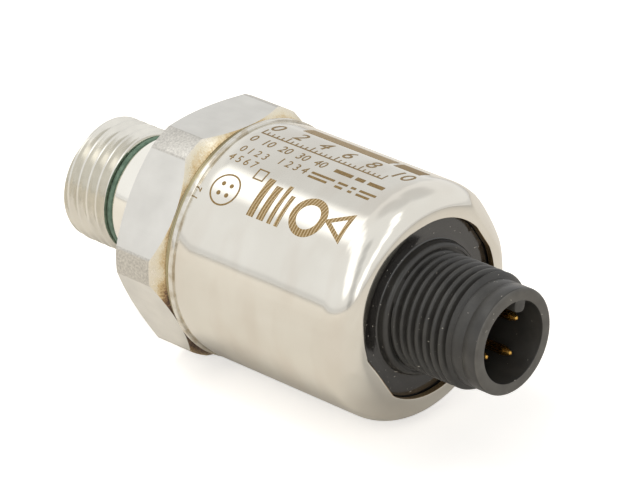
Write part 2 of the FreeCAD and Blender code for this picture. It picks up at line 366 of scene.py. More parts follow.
# %% Turned stainless steel
def along_and_out(material, place):
    """The distance along the axis and the distance from it, as two values."""
    parts = add_node(material, "ShaderNodeSeparateXYZ", {0: place})
    flat = add_node(material, "ShaderNodeMapping", {"Vector": place}, Scale=(0, 1, 1)).outputs[0]
    length = add_node(material, "ShaderNodeVectorMath", {0: flat}, operation="LENGTH")
    return parts.outputs["X"], length.outputs["Value"]


def turned_rings(material, place, pitch_mm):
    """Rings round the axis: noise that only changes along it, and with the radius."""
    along, out = along_and_out(material, place)
    both = maths(material, "ADD", along, out)
    vector = add_node(material, "ShaderNodeCombineXYZ", {"X": both}).outputs[0]
    texture = add_node(
        material, "ShaderNodeTexNoise", {"Vector": vector}, Scale=1 / (pitch_mm * mm), Detail=2.0
    )
    return texture.outputs["Fac"]


def make_turned_stainless():
    material, shader, place = new_material("turned_stainless_steel", Metallic=1.0)
    rings = turned_rings(material, place, 0.16)
    cloud = noise(material, place, 2.5)
    colour = ramp(material, cloud, [(0.3, "#dddad1"), (0.7, "#e7e4db")])
    feed(material, shader, Base_Color=colour,
         Roughness=stretch(material, rings, 0.3, 0.7, 0.13, 0.22),
         Normal=bump(material, rings, 0.003, 0.4))
    return material


turned_stainless = make_turned_stainless()
print("made", turned_stainless.name)

# %% [markdown]
# The hexagon's flats are milled, or drawn bar left as it comes: satin, with very fine lines along the
# bar. Its corners are turned down a little, and there the skin of the bar shows as a darker, speckled
# land. Both are one steel, so one material tells them apart by the distance from the axis.

# %% Satin bar steel
def make_bar_steel():
    material, shader, place = new_material("satin_stainless_bar", Metallic=1.0)
    land_from, land_to = 12.93, 12.99
    out = along_and_out(material, place)[1]
    lines = noise(material, place, 0.12, 3.0, (60, 1, 1))
    speckle = noise(material, place, 0.22, 4.0)
    land = stretch(material, out, land_from * mm, land_to * mm, 0.0, 0.75)
    face = ramp(material, noise(material, place, 3.0), [(0.3, "#dad8d2"), (0.7, "#e5e3dd")])
    worn = ramp(material, speckle, [(0.3, "#a8a49c"), (0.7, "#dad6cd")])
    grain = maths(material, "ADD", maths(material, "MULTIPLY", lines, 0.35), speckle)
    feed(material, shader, Base_Color=mixed(material, land, face, worn),
         Roughness=stretch(material, lines, 0.3, 0.7, 0.34, 0.44),
         Normal=bump(material, grain, 0.003, 0.5))
    return material


bar_steel = make_bar_steel()

# %% [markdown]
# The can is welded to the hexagon, and the heating at the weld colours the steel: straw first, then brown.
# The colour follows the distance from the seam, pushed about by noise so that it lies in clouds. The side
# that lies underneath is also painted darker and more speckled, as painted shade.

# %% Heat-tinted steel
def make_heat_tint_and_shade():
    material, shader, place = new_material("heat_tinted_stainless_and_painted_shade", Metallic=1.0)
    along = along_and_out(material, place)[0]
    fine = noise(material, place, 0.18, 3.0)
    cloud = noise(material, place, 2.6, 4.0)
    parts = add_node(material, "ShaderNodeSeparateXYZ", {0: place})
    # Painted shade: lower down in Z the colour is pushed darker and its speckle made stronger.
    painted_shade_low_side = stretch(material, parts.outputs["Z"], 0.0, -5.0 * mm)
    depth = stretch(material, along, can_back - 2.1 * mm, can_back - 0.8 * mm)
    tint_and_shade = maths(material, "ADD", maths(material, "MULTIPLY", depth, 0.42),
                 maths(material, "MULTIPLY", cloud, 0.5))
    tint_and_shade = maths(material, "ADD", tint_and_shade, maths(material, "MULTIPLY", painted_shade_low_side, 0.36))
    spread = maths(material, "ADD", maths(material, "MULTIPLY", painted_shade_low_side, 0.5), 0.25)
    speckle = maths(material, "MULTIPLY", maths(material, "SUBTRACT", fine, 0.5), spread)
    tint_and_shade = maths(material, "ADD", tint_and_shade, speckle)
    bevel = ramp(material, tint_and_shade, [
        (0.30, "#e8e2d5"), (0.50, "#e3d9c0"), (0.62, "#cfb88e"), (0.76, "#957a5c"), (0.90, "#5d4d44"),
    ])
    lines = noise(material, place, 0.3, 2.0, (0.6, 30, 30))
    neck = ramp(material, lines, [(0.34, "#7b7058"), (0.46, "#aaa07e"), (0.62, "#c4bb9c")])
    on_neck = stretch(material, along, can_back - 0.86 * mm, can_back - 0.8 * mm)
    feed(material, shader, Base_Color=mixed(material, on_neck, bevel, neck),
         Roughness=stretch(material, fine, 0.3, 0.7, 0.24, 0.4),
         Normal=bump(material, fine, 0.006, 0.6))
    return material


heat_tint_and_shade = make_heat_tint_and_shade()

# %% [markdown]
# The can is deep drawn and polished. A mirror this smooth still has a faint waviness from the press,
# which bends what it reflects, and hair-fine polishing lines, which soften it. Soft pinkish-brown bands in
# its colour are a painted reflection, and the brown patches by the seam are a real weld stain.

# %% Polished can steel
def make_polished_steel(name, dark, light, stain_and_painted_reflection):
    material, shader, place = new_material(name, Metallic=1.0)
    along = along_and_out(material, place)[0]
    waves = noise(material, place, 5.0, 1.0)
    hair = noise(material, place, 0.1, 2.0, (1, 40, 40))
    colour = ramp(material, noise(material, place, 6.0), [(0.3, dark), (0.7, light)])
    # Painted reflection: soft bands mixed towards #c9baaa stand in for what the polished steel mirrors.
    painted_reflection_bands = stretch(material, noise(material, place, 3.4, 2.0, (1, 3, 3)), 0.48, 0.72)
    colour = mixed(material, maths(material, "MULTIPLY", painted_reflection_bands, stain_and_painted_reflection * 0.4), colour, "#c9baaa")
    seam = maths(material, "MULTIPLY", stretch(material, along, can_back + 1.1 * mm, can_back + 0.55 * mm),
                 stretch(material, along, can_back - 0.3 * mm, can_back))
    patches = stretch(material, noise(material, place, 1.1, 4.0), 0.45, 0.62)
    stain = maths(material, "MULTIPLY", seam, patches)
    colour = mixed(material, maths(material, "MULTIPLY", stain, stain_and_painted_reflection * 0.75), colour, "#a08a5c")
    pressed = bump(material, waves, 0.05, 0.35)
    feed(material, shader, Base_Color=colour,
         Roughness=stretch(material, hair, 0.3, 0.7, 0.07, 0.14),
         Normal=bump(material, hair, 0.002, 0.15, under=pressed))
    return material


polished_can = make_polished_steel("polished_stainless_can", "#dedad0", "#e6e3da", 0.55)
# Painted highlight: the collar's copy of the polished steel is given lighter colours than the can's.
polished_collar_painted_lighter = make_polished_steel("polished_stainless_collar_painted_highlight", "#efece3", "#f6f3ea", 0.0)

# %% [markdown]
# The opening is punched, and its cut edge was warmed with the rest: a narrow straw-brown line that is
# rougher than the polished shoulder.

# %% Punched edge
def make_lip_edge():
    material, shader, place = new_material("straw_tinted_cut_edge", Metallic=1.0)
    fine = noise(material, place, 0.15, 3.0)
    feed(material, shader, Base_Color=ramp(material, fine, [(0.3, "#8d7350"), (0.7, "#bfa377")]),
         Roughness=stretch(material, fine, 0.3, 0.7, 0.3, 0.45), Normal=bump(material, fine, 0.006, 0.6))
    return material


lip_edge = make_lip_edge()

# %% [markdown]
# The plug is moulded in black glass-filled polyamide. Its skin is satin with a very fine grain, and it
# attracts dust, so a few pale specks and short hairs of lint are drawn on it by a second noise.

# %% Black moulded plastic
def make_black_plastic(name, shade, roughness, dust=0.735, index=1.52):
    material, shader, place = new_material(name, IOR=index)
    grain = noise(material, place, 0.09, 3.0)
    specks = noise(material, place, 0.34, 2.0)
    lint = noise(material, place, 0.3, 2.0, (1, 4, 1))
    spot = maths(material, "MAXIMUM", stretch(material, specks, dust, dust + 0.02),
                 stretch(material, lint, dust + 0.01, dust + 0.03))
    body = ramp(material, noise(material, place, 1.6, 3.0), [(0.3, shade[0]), (0.7, shade[1])])
    feed(material, shader, Base_Color=mixed(material, spot, body, "#b9b4aa"),
         Roughness=stretch(material, grain, 0.3, 0.7, roughness - 0.05, roughness + 0.07),
         Normal=bump(material, grain, 0.004, 0.35))
    return material


plug_plastic = make_black_plastic("black_polyamide_satin", ("#2a2927", "#363532"), 0.35, 0.745)
disc_plastic = make_black_plastic("black_polyamide_gloss", ("#23211f", "#2b2927"), 0.15, 0.72, 1.75)
worn_plastic = make_black_plastic("black_polyamide_worn_edge", ("#4d4b47", "#5c5a55"), 0.46, 0.75)

# %% [markdown]
# The seal ring is green fluorocarbon rubber, matt and a little cloudy. The pins are brass with hard gold
# plate, a warm mirror. A laser mark is no paint: the beam heats the steel until a brown skin of oxide
# forms, duller than the polish around it.

# %% Rubber, gold and laser marks
def make_rubber(name, dark, light, roughness):
    material, shader, place = new_material(name, Roughness=roughness)
    cloud = noise(material, place, 0.5, 3.0)
    feed(material, shader, Base_Color=ramp(material, cloud, [(0.3, dark), (0.7, light)]),
         Normal=bump(material, noise(material, place, 0.12, 3.0), 0.005, 0.4))
    return material


green_rubber = make_rubber("green_fluorocarbon_rubber", "#4a6252", "#6b8271", 0.66)
black_rubber = make_rubber("black_nitrile_rubber", "#1b1b1b", "#262626", 0.55)


def make_gold():
    """Hard gold plate on brass pins: a warm mirror with fine drawing lines along the pin."""
    material, shader, place = new_material("hard_gold_plate", Metallic=1.0)
    lines = noise(material, place, 0.06, 2.0, (30, 1, 1))
    feed(material, shader, Base_Color=ramp(material, lines, [(0.3, "#b98a3e"), (0.7, "#d9b062")]),
         Roughness=stretch(material, lines, 0.3, 0.7, 0.2, 0.32))
    return material


def make_laser_mark(name, hatch):
    """Laser annealing leaves a brown oxide skin. A filled shape is drawn by slanted lines 0.25 mm apart."""
    material, shader, place = new_material(name, Metallic=0.7)
    beam = noise(material, place, 0.16, 2.0)
    colour = ramp(material, beam, [(0.3, "#7a6038"), (0.7, "#9c8458")])
    if hatch:
        turned = add_node(material, "ShaderNodeMapping", {"Vector": place}, Rotation=(0, 0.6, 0.5))
        slant = turned.outputs[0]
        lines = add_node(material, "ShaderNodeTexWave", {"Vector": slant}, Scale=0.314 / (0.25 * mm),
                         Distortion=0.6, Detail=1.0).outputs["Fac"]
        colour = mixed(material, stretch(material, lines, 0.55, 0.9), colour, "#bda987")
    feed(material, shader, Base_Color=colour,
         Roughness=stretch(material, beam, 0.3, 0.7, 0.38, 0.55))
    return material


gold_plate = make_gold()
laser_mark = make_laser_mark("laser_annealed_mark", False)
laser_hatch = make_laser_mark("laser_annealed_hatch", True)
print("materials ready:", len(bpy.data.materials))


# %% [markdown]
# The solids inside the can keep the construction's own meshes. Most are moulded, pressed or fired, so
# their finish is a fine grain of their own size over a colour that drifts a little. The circuit board
# has copper tracks under its green lacquer, and rolled steel shows straight, hair-fine lines.

# %% The finishes inside the can
def make_moulded(name, dark, light, roughness, grain_mm, depth_mm, **surface):
    """A moulded or fired surface: a colour that drifts over 2 mm and a fine grain."""
    material, shader, place = new_material(name, **surface)
    grain = noise(material, place, grain_mm, 3.0)
    drift = noise(material, place, 2.0, 2.0)
    feed(material, shader, Base_Color=ramp(material, drift, [(0.3, dark), (0.7, light)]),
         Roughness=stretch(material, grain, 0.3, 0.7, roughness - 0.06, roughness + 0.06),
         Normal=bump(material, grain, depth_mm, 0.5))
    return material


def make_rolled_steel():
    material, shader, place = new_material("rolled_stainless_strip", Metallic=1.0)
    lines = noise(material, place, 0.08, 3.0, (1, 1, 50))
    feed(material, shader, Base_Color=ramp(material, lines, [(0.3, "#bfbcb4"), (0.7, "#d3d0c8")]),
         Roughness=stretch(material, lines, 0.3, 0.7, 0.2, 0.34), Normal=bump(material, lines, 0.002, 0.4))
    return material


def make_circuit_board():
    """Green solder lacquer, lighter where a fine copper track runs under it."""
    material, shader, place = new_material("lacquered_glass_epoxy", Roughness=0.28)
    turned = add_node(material, "ShaderNodeMapping", {"Vector": place}, Rotation=(0, math.pi / 2, 0))
    bricks = add_node(
        material, "ShaderNodeTexBrick", {"Vector": turned.outputs[0]}, Scale=1 / (3.2 * mm)
    )
    tracks = bricks.outputs["Fac"]
    weave = noise(material, place, 0.15, 2.0)
    lacquer = ramp(material, weave, [(0.3, "#0f4a2b"), (0.7, "#165a36")])
    feed(material, shader, Base_Color=mixed(material, tracks, lacquer, "#2f7d4f"),
         Normal=bump(material, tracks, 0.02, 0.4))
    return material


rolled_steel = make_rolled_steel()
inner_finishes = {
    "turned_steel": turned_stainless,
    "polished_steel": rolled_steel,
    "green_rubber": green_rubber,
    "black_rubber": black_rubber,
    "black_plastic": plug_plastic,
    "white_plastic": make_moulded("white_polybutylene", "#e2e0d9", "#eceae4", 0.45, 0.1, 0.004),
    "grey_plastic": make_moulded("grey_polyamide", "#85888a", "#939698", 0.48, 0.1, 0.005),
    "gold_plate": gold_plate,
    "white_ceramic": make_moulded("fired_alumina", "#e6e3dc", "#f0eee8", 0.55, 0.06, 0.003),
    "bond_glass": make_moulded("bonding_glass", "#b5ae92", "#c8c2a8", 0.2, 0.4, 0.004,
                               Transmission_Weight=0.35),
    "circuit_board": make_circuit_board(),
    "chip_plastic": make_moulded("black_epoxy_compound", "#1d1d1f", "#27272a", 0.6, 0.05, 0.005),
    "capacitor_ceramic": make_moulded("barium_titanate_ceramic", "#94744f", "#a5845c", 0.5, 0.12, 0.004),
    "red_wire": make_moulded("red_vinyl_insulation", "#9c1511", "#b01d17", 0.35, 0.2, 0.003),
    "blue_wire": make_moulded("blue_vinyl_insulation", "#152a86", "#1d3698", 0.35, 0.2, 0.003),
    "brown_wire": make_moulded("brown_vinyl_insulation", "#492b17", "#57351e", 0.35, 0.2, 0.003),
}
slots = {part["node"]: part["material_slot"] for part in frame["record"]["subparts"]}
for name, solid in frame["nodes"].items():
    finish = inner_finishes[slots[name]]
    for material_slot in solid.material_slots:
        material_slot.material = finish
    if not solid.material_slots:
        solid.data.materials.append(finish)
print("finishes given to", len(frame["nodes"]), "solids")

# %% [markdown]
# A piece that is made here can have several finishes, and each face gets its own by where it lies and
# which way it looks. The second helper puts the piece in place of the solids that it stands for, on the
# body that they belong to.

# %% Giving a piece its finish
def dress(piece, finishes, choose=None):
    """Give a piece its materials; choose gives the number of the finish for a face's middle and normal."""
    piece.data.materials.clear()
    for finish in finishes:
        piece.data.materials.append(finish)
    if choose:
        for face in piece.data.polygons:
            face.material_index = choose(face.center / mm, face.normal)


def hand_in(piece, slot, *nodes):
    """The piece rides on the body and stands for its construction nodes; slot is not used."""
    settle(piece)
    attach(piece, root)
    for node in nodes:
        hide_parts(node)


# %% [markdown]
# ## The process fitting
#
# The stud, the hexagon and the neck are one piece of steel. The lathe gives the stud, the relief groove
# with its collar, the neck and all the bores; the hexagon is a six-sided bar whose corners and faces are
# turned; the thread is cut last.

# %% Turn the blank
major, collar_r, groove_r, port_r = 6.5785, 6.4, 5.45, 2.0
bore_r, ring_bore_r, skirt_r, neck_r = 9.05, 9.6, 11.55, 11.9
chamber_x, chamber_r = 1.8, 5.0
port_chamfer, end_round, ring_drop, neck_edge = 0.4, 0.3, 0.42, 0.08
bar_from, bar_to, bar_core = 0.4, 6.3, 11.0       # the hexagon is joined on round this
seat, blank_start, rim_x, skirt_x = (x / mm for x in (cell_seat, stud_end, can_back, skirt_end))
groove_from, groove_to = seal_back / mm, seal_front / mm - 0.15
washer_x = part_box("pressure_washer")[1].x / mm
ring_r = major - ring_drop
fitting_outline = (
    [(blank_start, port_r + port_chamfer), (blank_start, major - end_round)]
    + arc(blank_start + end_round, major - end_round, end_round, 180, 90, 3)[1:]
    + [(groove_from, major), (groove_from, groove_r), (groove_to, groove_r), (groove_to, ring_r),
       (groove_to + 0.42, collar_r - 0.02), (groove_to + 0.48, collar_r), (-0.1, collar_r)]
    + [(bar_from, collar_r), (bar_from, bar_core), (bar_to, bar_core), (bar_to, 11.55)]
    + [(6.63, neck_r - 0.02), (rim_x - neck_edge, neck_r), (rim_x, neck_r - neck_edge)]
    + [(rim_x, skirt_r), (skirt_x, skirt_r), (skirt_x, ring_bore_r), (washer_x, ring_bore_r)]
    + [(washer_x, bore_r), (seat, bore_r), (seat, chamber_r), (chamber_x, chamber_r)]
    + [(chamber_x, port_r), (blank_start + port_chamfer, port_r)]
)
fitting = turn_on_lathe("process_fitting_turned", fitting_outline, 160)

# %% [markdown]
# A hexagon bar is put in the lathe, which rounds its corners and bevels both its faces. Here the bar is
# a six-sided cylinder, and what the lathe would leave is a second, round shape: the hexagon is the part
# that both have in common. A fine bevel then breaks its edges, as a file would.

# %% The hexagon
def make_hexagon():
    across, corner, length, core_r = 23.8, 26.1, 6.6, 3.0
    stud_bevel, can_bevel, past = 1.45, 1.15, 0.2
    stud_slope = math.tan(math.radians(30))
    clear()
    bpy.ops.mesh.primitive_cylinder_add(
        vertices=6, radius=across / math.sqrt(3) * mm, depth=length * mm,
        location=(length / 2 * mm, 0, 0), rotation=(0, math.pi / 2, 0),
    )
    bar = bpy.context.object
    bar.name = "hexagon_bar"
    settle(bar)
    turned_r = corner / 2
    limits = turn_on_lathe("hexagon_limits", [
        (-past, core_r), (-past, turned_r - stud_bevel - past / stud_slope),
        (stud_bevel * stud_slope, turned_r), (length - can_bevel, turned_r),
        (length + past, turned_r - can_bevel - past), (length + past, core_r),
    ], 240)
    combine(bar, limits, "INTERSECT")
    tidy_normals(bar)
    return bar


hexagon = make_hexagon()
apply_modifier(hexagon, "BEVEL", width=0.07 * mm, segments=2, limit_method="ANGLE",
               angle_limit=math.radians(22), use_clamp_overlap=True)
print("hexagon", len(hexagon.data.polygons), "faces, width", hexagon.dimensions.z / mm)
combine(fitting, hexagon, "UNION")

# %% [markdown]
# The stud has a pipe thread of 1.337 mm pitch with flanks at 55 degrees, rounded at its root and crest.
# The tool starts before the stud's end and leaves the work in the groove behind it.

# %% Cut the thread
stud_tool = thread_tool(
    "stud_thread_tool", blank_start - 1.0, groove_from + 0.7, pitch=1.337, root=5.7225, major=major,
    flank=27.5, root_round=0.184, crest_round=0.1, phase=0.35, steps=96,
)
print("tool", len(stud_tool.data.polygons), "faces")
combine(fitting, stud_tool, "DIFFERENCE")
tidy_normals(fitting, 1e-6)
smooth(fitting, 30)
print("fitting", len(fitting.data.polygons), "faces")

# %% [markdown]
# One piece of steel shows four finishes: turned on the stud, polished on the collar that the seal
# touches, painted lighter there as painted highlight, satin on the hexagon, and tinted by the weld's
# heating on the bevel and neck next to the weld, with painted shade on the side underneath.

# %% Finish the fitting
def fitting_finish(middle, normal):
    """0 turned stud, 1 bar, 2 tinted bevel and neck with painted shade underneath, 3 polished collar
    painted lighter as highlight.
    """
    on_stud = middle.x < 0.02 and radius(middle) < 7.0
    if on_stud and middle.x > groove_to and radius(middle) > 5.6:
        return 3
    if on_stud:
        return 0
    on_flat = middle.x < 6.55 and abs(normal.x) < 0.2
    return 2 if middle.x > 5.3 and not on_flat else 1


dress(fitting, [turned_stainless, bar_steel, heat_tint_and_shade, polished_collar_painted_lighter], fitting_finish)
hand_in(fitting, "turned_steel", "process_fitting")

# %% [markdown]
# ## The seal ring
#
# The ring fills the relief groove and is slightly domed, so its cross-section has a flat seat and a
# round top.

# %% Turn the seal ring
seal = turn_on_lathe("stud_seal_ring_green", [
    (groove_from + 0.02, groove_r + 0.01), (groove_from + 0.02, ring_r - 0.06),
    (groove_from + 0.08, ring_r + 0.04), (groove_from + 0.2, ring_r + 0.09),
    ((groove_from + groove_to) / 2, ring_r + 0.1), (groove_to - 0.2, ring_r + 0.08),
    (groove_to - 0.08, ring_r + 0.03), (groove_to - 0.02, ring_r - 0.06),
    (groove_to - 0.02, groove_r + 0.01),
], 160)
smooth(seal, 50)
dress(seal, [green_rubber])
hand_in(seal, "green_rubber", "stud_seal_ring")

# %% [markdown]
# ## The can
#
# The can is drawn from sheet 0.7 mm thick, with a rim at the weld and a large rounded shoulder that
# turns in to the opening. Two sides of the opening are pressed flat, and the press leaves a shallow
# dent on the shoulder above each. The can is made with those flats to the left and right, and then
# turned by their angle.

# %% Turn the can
wall, can_r, shoulder, opening_r = 0.7, 12.25, 3.1, 9.15
press_angle = 34.0
crest = 0.3                       # how far the rounded front stands past its plain solid
front_x = can_front / mm + crest
shoulder_x, shoulder_r = front_x - shoulder, can_r - shoulder
lip_angle = math.degrees(math.acos((opening_r + 0.1 - shoulder_r) / shoulder))
rim_r, rim_round = rim_radius / mm, 0.12
bead_end = 0.86
bead = [(0.5, rim_r), (0.57, rim_r - 0.04), (0.64, can_r - 0.12), (0.72, can_r - 0.13),
        (0.8, can_r - 0.02), (bead_end, can_r)]
can_outline = (
    [(rim_x, can_r - wall), (rim_x, rim_r - rim_round)]
    + arc(rim_x + rim_round, rim_r - rim_round, rim_round, 180, 90, 3)[1:]
    + [(rim_x + x, r) for x, r in bead]
    + [(rim_x + bead_end + (shoulder_x - rim_x - bead_end) * k / 12, can_r) for k in range(1, 12)]
    + arc(shoulder_x, shoulder_r, shoulder, 90, 90 - lip_angle, 28)
)
lip_x = can_outline[-1][0]
can_outline += [
    (lip_x - 0.015, opening_r + 0.03), (lip_x - 0.06, opening_r), (front_x - wall + 0.05, opening_r),
]
can_outline += arc(shoulder_x, shoulder_r, shoulder - wall, 90 - lip_angle * 0.98, 90, 12)
can = turn_on_lathe("can_drawn", can_outline, 240)

# %% [markdown]
# A press pushes the lip of the opening flat on two sides. Scaling by nought across the press moves what
# stands past a plane on to that plane, and the push fades out over the next rings of the shoulder, as
# sheet metal follows a tool. The dents are softer: their metal goes only part of the way.

# %% Press the flats and the dents
def press_flat(piece, side, flat, reach):
    """Move each ring of the lip on to a plane, where the ring lies past it."""
    start_edit(piece)
    rings = sorted({
        (round(v.co.x / mm, 3), round(radius(v.co) / mm, 3)) for v in piece.data.vertices
        if v.co.x / mm > front_x - wall - 0.2 and radius(v.co) / mm < opening_r + reach
    })
    for ring_x, ring_r in rings:
        fade = (1 - (ring_r - opening_r) / reach) ** 2
        limit = ring_r - flat * fade

        def past_plane(p, v):
            on_ring = abs(p.x / mm - ring_x) < 2e-3 and abs(radius(p) / mm - ring_r) < 2e-3
            return on_ring and side * p.y / mm > limit

        if pick("VERT", past_plane):
            middle = (ring_x * mm, side * limit * mm, 0)
            bpy.ops.transform.resize(value=(1, 0, 1), center_override=middle)
    end_edit()


for side, flat in ((1, 0.15), (-1, 0.6)):
    press_flat(can, side, flat, 0.9)


def press_dent(piece, side, depth, slope=45.0, share=0.75):
    """Push what stands past a sloping plane on the shoulder a share of the way to it."""
    start_edit(piece)
    angle = math.radians(slope)
    out = Vector((math.sin(angle), side * math.cos(angle), 0))
    plane = Vector((shoulder_x, side * shoulder_r, 0)) + out * (shoulder - depth)
    pick("VERT", lambda p, v: (p / mm - plane).dot(out) > 0
         and p.x / mm > shoulder_x - 0.5 and side * p.y > 0)
    mesh = bmesh.from_edit_mesh(piece.data)
    for vertex in mesh.verts:
        if vertex.select:
            vertex.co -= out * (vertex.co / mm - plane).dot(out) * mm * share
    bmesh.update_edit_mesh(piece.data)
    end_edit()


for side, depth in ((1, 0.5), (-1, 0.4)):
    press_dent(can, side, depth)
can.rotation_euler.x = math.radians(press_angle)
settle(can)
tidy_normals(can)
smooth(can, 40)


def can_finish(middle, normal):
    """0 polished, 1 the cut edge, which looks in at the axis."""
    inward = -(normal.y * middle.y + normal.z * middle.z) / radius(middle)
    return 1 if middle.x > front_x - wall - 0.1 and inward > 0.5 else 0


dress(can, [polished_can, lip_edge], can_finish)
hand_in(can, "polished_steel", "can_housing")
print("can", len(can.data.polygons), "faces")

# %% [markdown]
# ## The laser marks
#
# A laser writes on the can by heating the steel until it browns. The marks here are plain ones: a
# scale with numbers, some bars, a ring with four dots for the contacts, and some hatched shapes. They
# are drawn flat, with X along the can and Y round it, because flat shapes are easy to place. Then the
# whole drawing is cut into narrow strips, given a hair of thickness, and wrapped round the can.

# %% Shapes drawn flat
mark_parts = []


def keep_mark(finish=0):
    piece = bpy.context.object
    settle(piece)
    piece.data.materials.clear()
    for material in (laser_mark, laser_hatch):
        piece.data.materials.append(material)
    for face in piece.data.polygons:
        face.material_index = finish
    mark_parts.append(piece)


def flat_bar(x, y, length, width, finish=0):
    """A bar from x to x + length, with its middle at y; all in millimetres."""
    clear()
    bpy.ops.mesh.primitive_plane_add(size=1, location=((x + length / 2) * mm, y * mm, 0))
    bpy.context.object.scale = (length * mm, width * mm, 1)
    keep_mark(finish)


def flat_ring(x, y, outer, inner, sides=48, turn=0.0, finish=0):
    """A ring, or with few sides a frame: a filled circle whose middle is inset and deleted."""
    clear()
    bpy.ops.mesh.primitive_circle_add(
        vertices=sides, radius=outer * mm, fill_type="NGON",
        location=(x * mm, y * mm, 0), rotation=(0, 0, math.radians(turn)),
    )
    if inner:
        bpy.ops.object.mode_set(mode="EDIT")
        bpy.ops.mesh.select_mode(type="FACE")
        bpy.ops.mesh.select_all(action="SELECT")
        bpy.ops.mesh.inset(thickness=(outer - inner) * math.cos(math.pi / sides) * mm)
        bpy.ops.mesh.delete(type="FACE")
        end_edit()
    keep_mark(finish)


def flat_digits(text, x, y, height, spacing=1.0, turn=0.0):
    """A line of numbers that starts at x, with its middle at y and its digits this high."""
    clear()
    bpy.ops.object.text_add(location=(x * mm, y * mm, 0), rotation=(0, 0, math.radians(turn)))
    words = bpy.context.object
    words.data.body = text
    words.data.size = height / 0.7 * mm
    words.data.space_character = spacing
    words.data.shear = 0.12
    words.data.resolution_u = 3
    words.data.align_y = "CENTER"
    bpy.ops.object.convert(target="MESH")
    keep_mark()


# %% [markdown]
# A place round the can is easiest to give as an angle, so one helper turns it into the length of can
# that the angle spans. The scale's ticks are one bar repeated, with each fifth one taller.

# %% Draw the marks
def round_can(degrees):
    """Where an angle round the can lies on the flat drawing, with the top of the can at 0."""
    return math.radians(90 - degrees) * can_r


flat_bar(11.5, round_can(73.5), 11.5, 1.6, 1)
flat_bar(23.6, round_can(73.5), 3.4, 1.6)
for k in range(6):
    flat_digits(str(2 * k), 9.0 + 3.2 * k, round_can(85.0), 1.75)
scale_start, scale_line, tick_step = 9.2, round_can(93.5), 0.64
flat_bar(scale_start, scale_line, 16.15, 0.16)
for k in range(26):
    tall = 0.9 if k % 5 == 0 else 0.5
    flat_bar(scale_start + tick_step * k, scale_line + tall / 2, 0.14, tall)
flat_digits("0  10  20  30  40", 9.0, round_can(99.5), 1.05)
for x, length in ((20.4, 2.3), (23.2, 1.1), (24.8, 2.0)):
    flat_bar(x, round_can(99.8), length, 0.5)
flat_digits("1 2 3 4", 14.2, round_can(107), 0.95)
for x, length in ((18.6, 3.0), (22.1, 1.2), (23.8, 0.6), (24.9, 2.1)):
    flat_bar(x, round_can(106.2), length, 0.28)
    flat_bar(x, round_can(108.9), length * 0.8, 0.28)
flat_digits("0 1 2 3", 9.3, round_can(108), 0.9)
flat_digits("4 5 6 7", 9.0, round_can(114.5), 0.9)

# %% [markdown]
# The ring with four dots stands for the plug's four contacts. A circle of three or four sides makes the
# triangle and the square frame.

# %% The ring of contacts and the hatched shapes
ring_x, ring_y, dot_circle = 11.3, round_can(131), 0.75
flat_ring(ring_x, ring_y, 1.75, 1.57)
for angle in (45, 135, 225, 315):
    turn = math.radians(angle)
    flat_ring(ring_x + dot_circle * math.cos(turn), ring_y + dot_circle * math.sin(turn), 0.24, 0, 16)
flat_digits("1 2", 8.35, round_can(141), 0.8, turn=90)
flat_ring(14.0, round_can(118), 0.95, 0.74, 4, 45)
for x, length, drop in ((15.2, 0.85, 0.0), (16.55, 0.85, 0.5), (17.9, 0.5, 0.0), (18.85, 0.5, 0.9)):
    flat_bar(x, round_can(128) - drop / 2, length, 4.4 - drop, 1)
flat_ring(22.1, round_can(128.5), 2.15, 1.35, 48, 0, 1)
flat_ring(25.95, round_can(127), 2.0, 1.05, 3, 90, 1)
print(len(mark_parts), "flat shapes")

# %% [markdown]
# A flat face bends only at its edges, so the joined drawing is first cut into strips 0.6 mm wide. Then
# each vertex goes round the can by as much as its Y says, and its height becomes its distance from the
# steel. The skin is 0.03 mm thick, and a little more than half of that stands above the can.

# %% Join, cut into strips and wrap
lowest, highest, strip = -11.1, 5.4, 0.6
skin, lift = 0.03, 0.002
only(mark_parts[0])
for piece in mark_parts:
    piece.select_set(True)
bpy.ops.object.join()
marks = bpy.context.object
marks.name = "laser_marks"
start_edit(marks)
y = lowest
while y < highest:
    bpy.ops.mesh.select_all(action="SELECT")
    bpy.ops.mesh.bisect(plane_co=(0, y * mm, 0), plane_no=(0, 1, 0))
    y += strip
end_edit()
apply_modifier(marks, "SOLIDIFY", thickness=skin * mm, offset=0.0, use_even_offset=False)
for vertex in marks.data.vertices:
    angle = math.pi / 2 - vertex.co.y / (can_r * mm)
    out = (can_r + lift) * mm + vertex.co.z
    vertex.co = (vertex.co.x, out * math.cos(angle), out * math.sin(angle))
marks.data.update()
start_edit(marks)
bpy.ops.mesh.normals_make_consistent(inside=False)
end_edit()
hand_in(marks, "polished_steel")
print("marks", len(marks.data.polygons), "faces")

# %% [markdown]
# ## The plug
#
# The plug is one moulding: a glossy disc that fills the can's opening, a foot ring, a moulded thread
# with rounded crests, a plain sleeve, and the socket with its key rib. Behind the disc is a flange that
# the can holds. The blank is spun, the thread is cut with a rounder tool than the steel one, and the
# key rib is joined on.

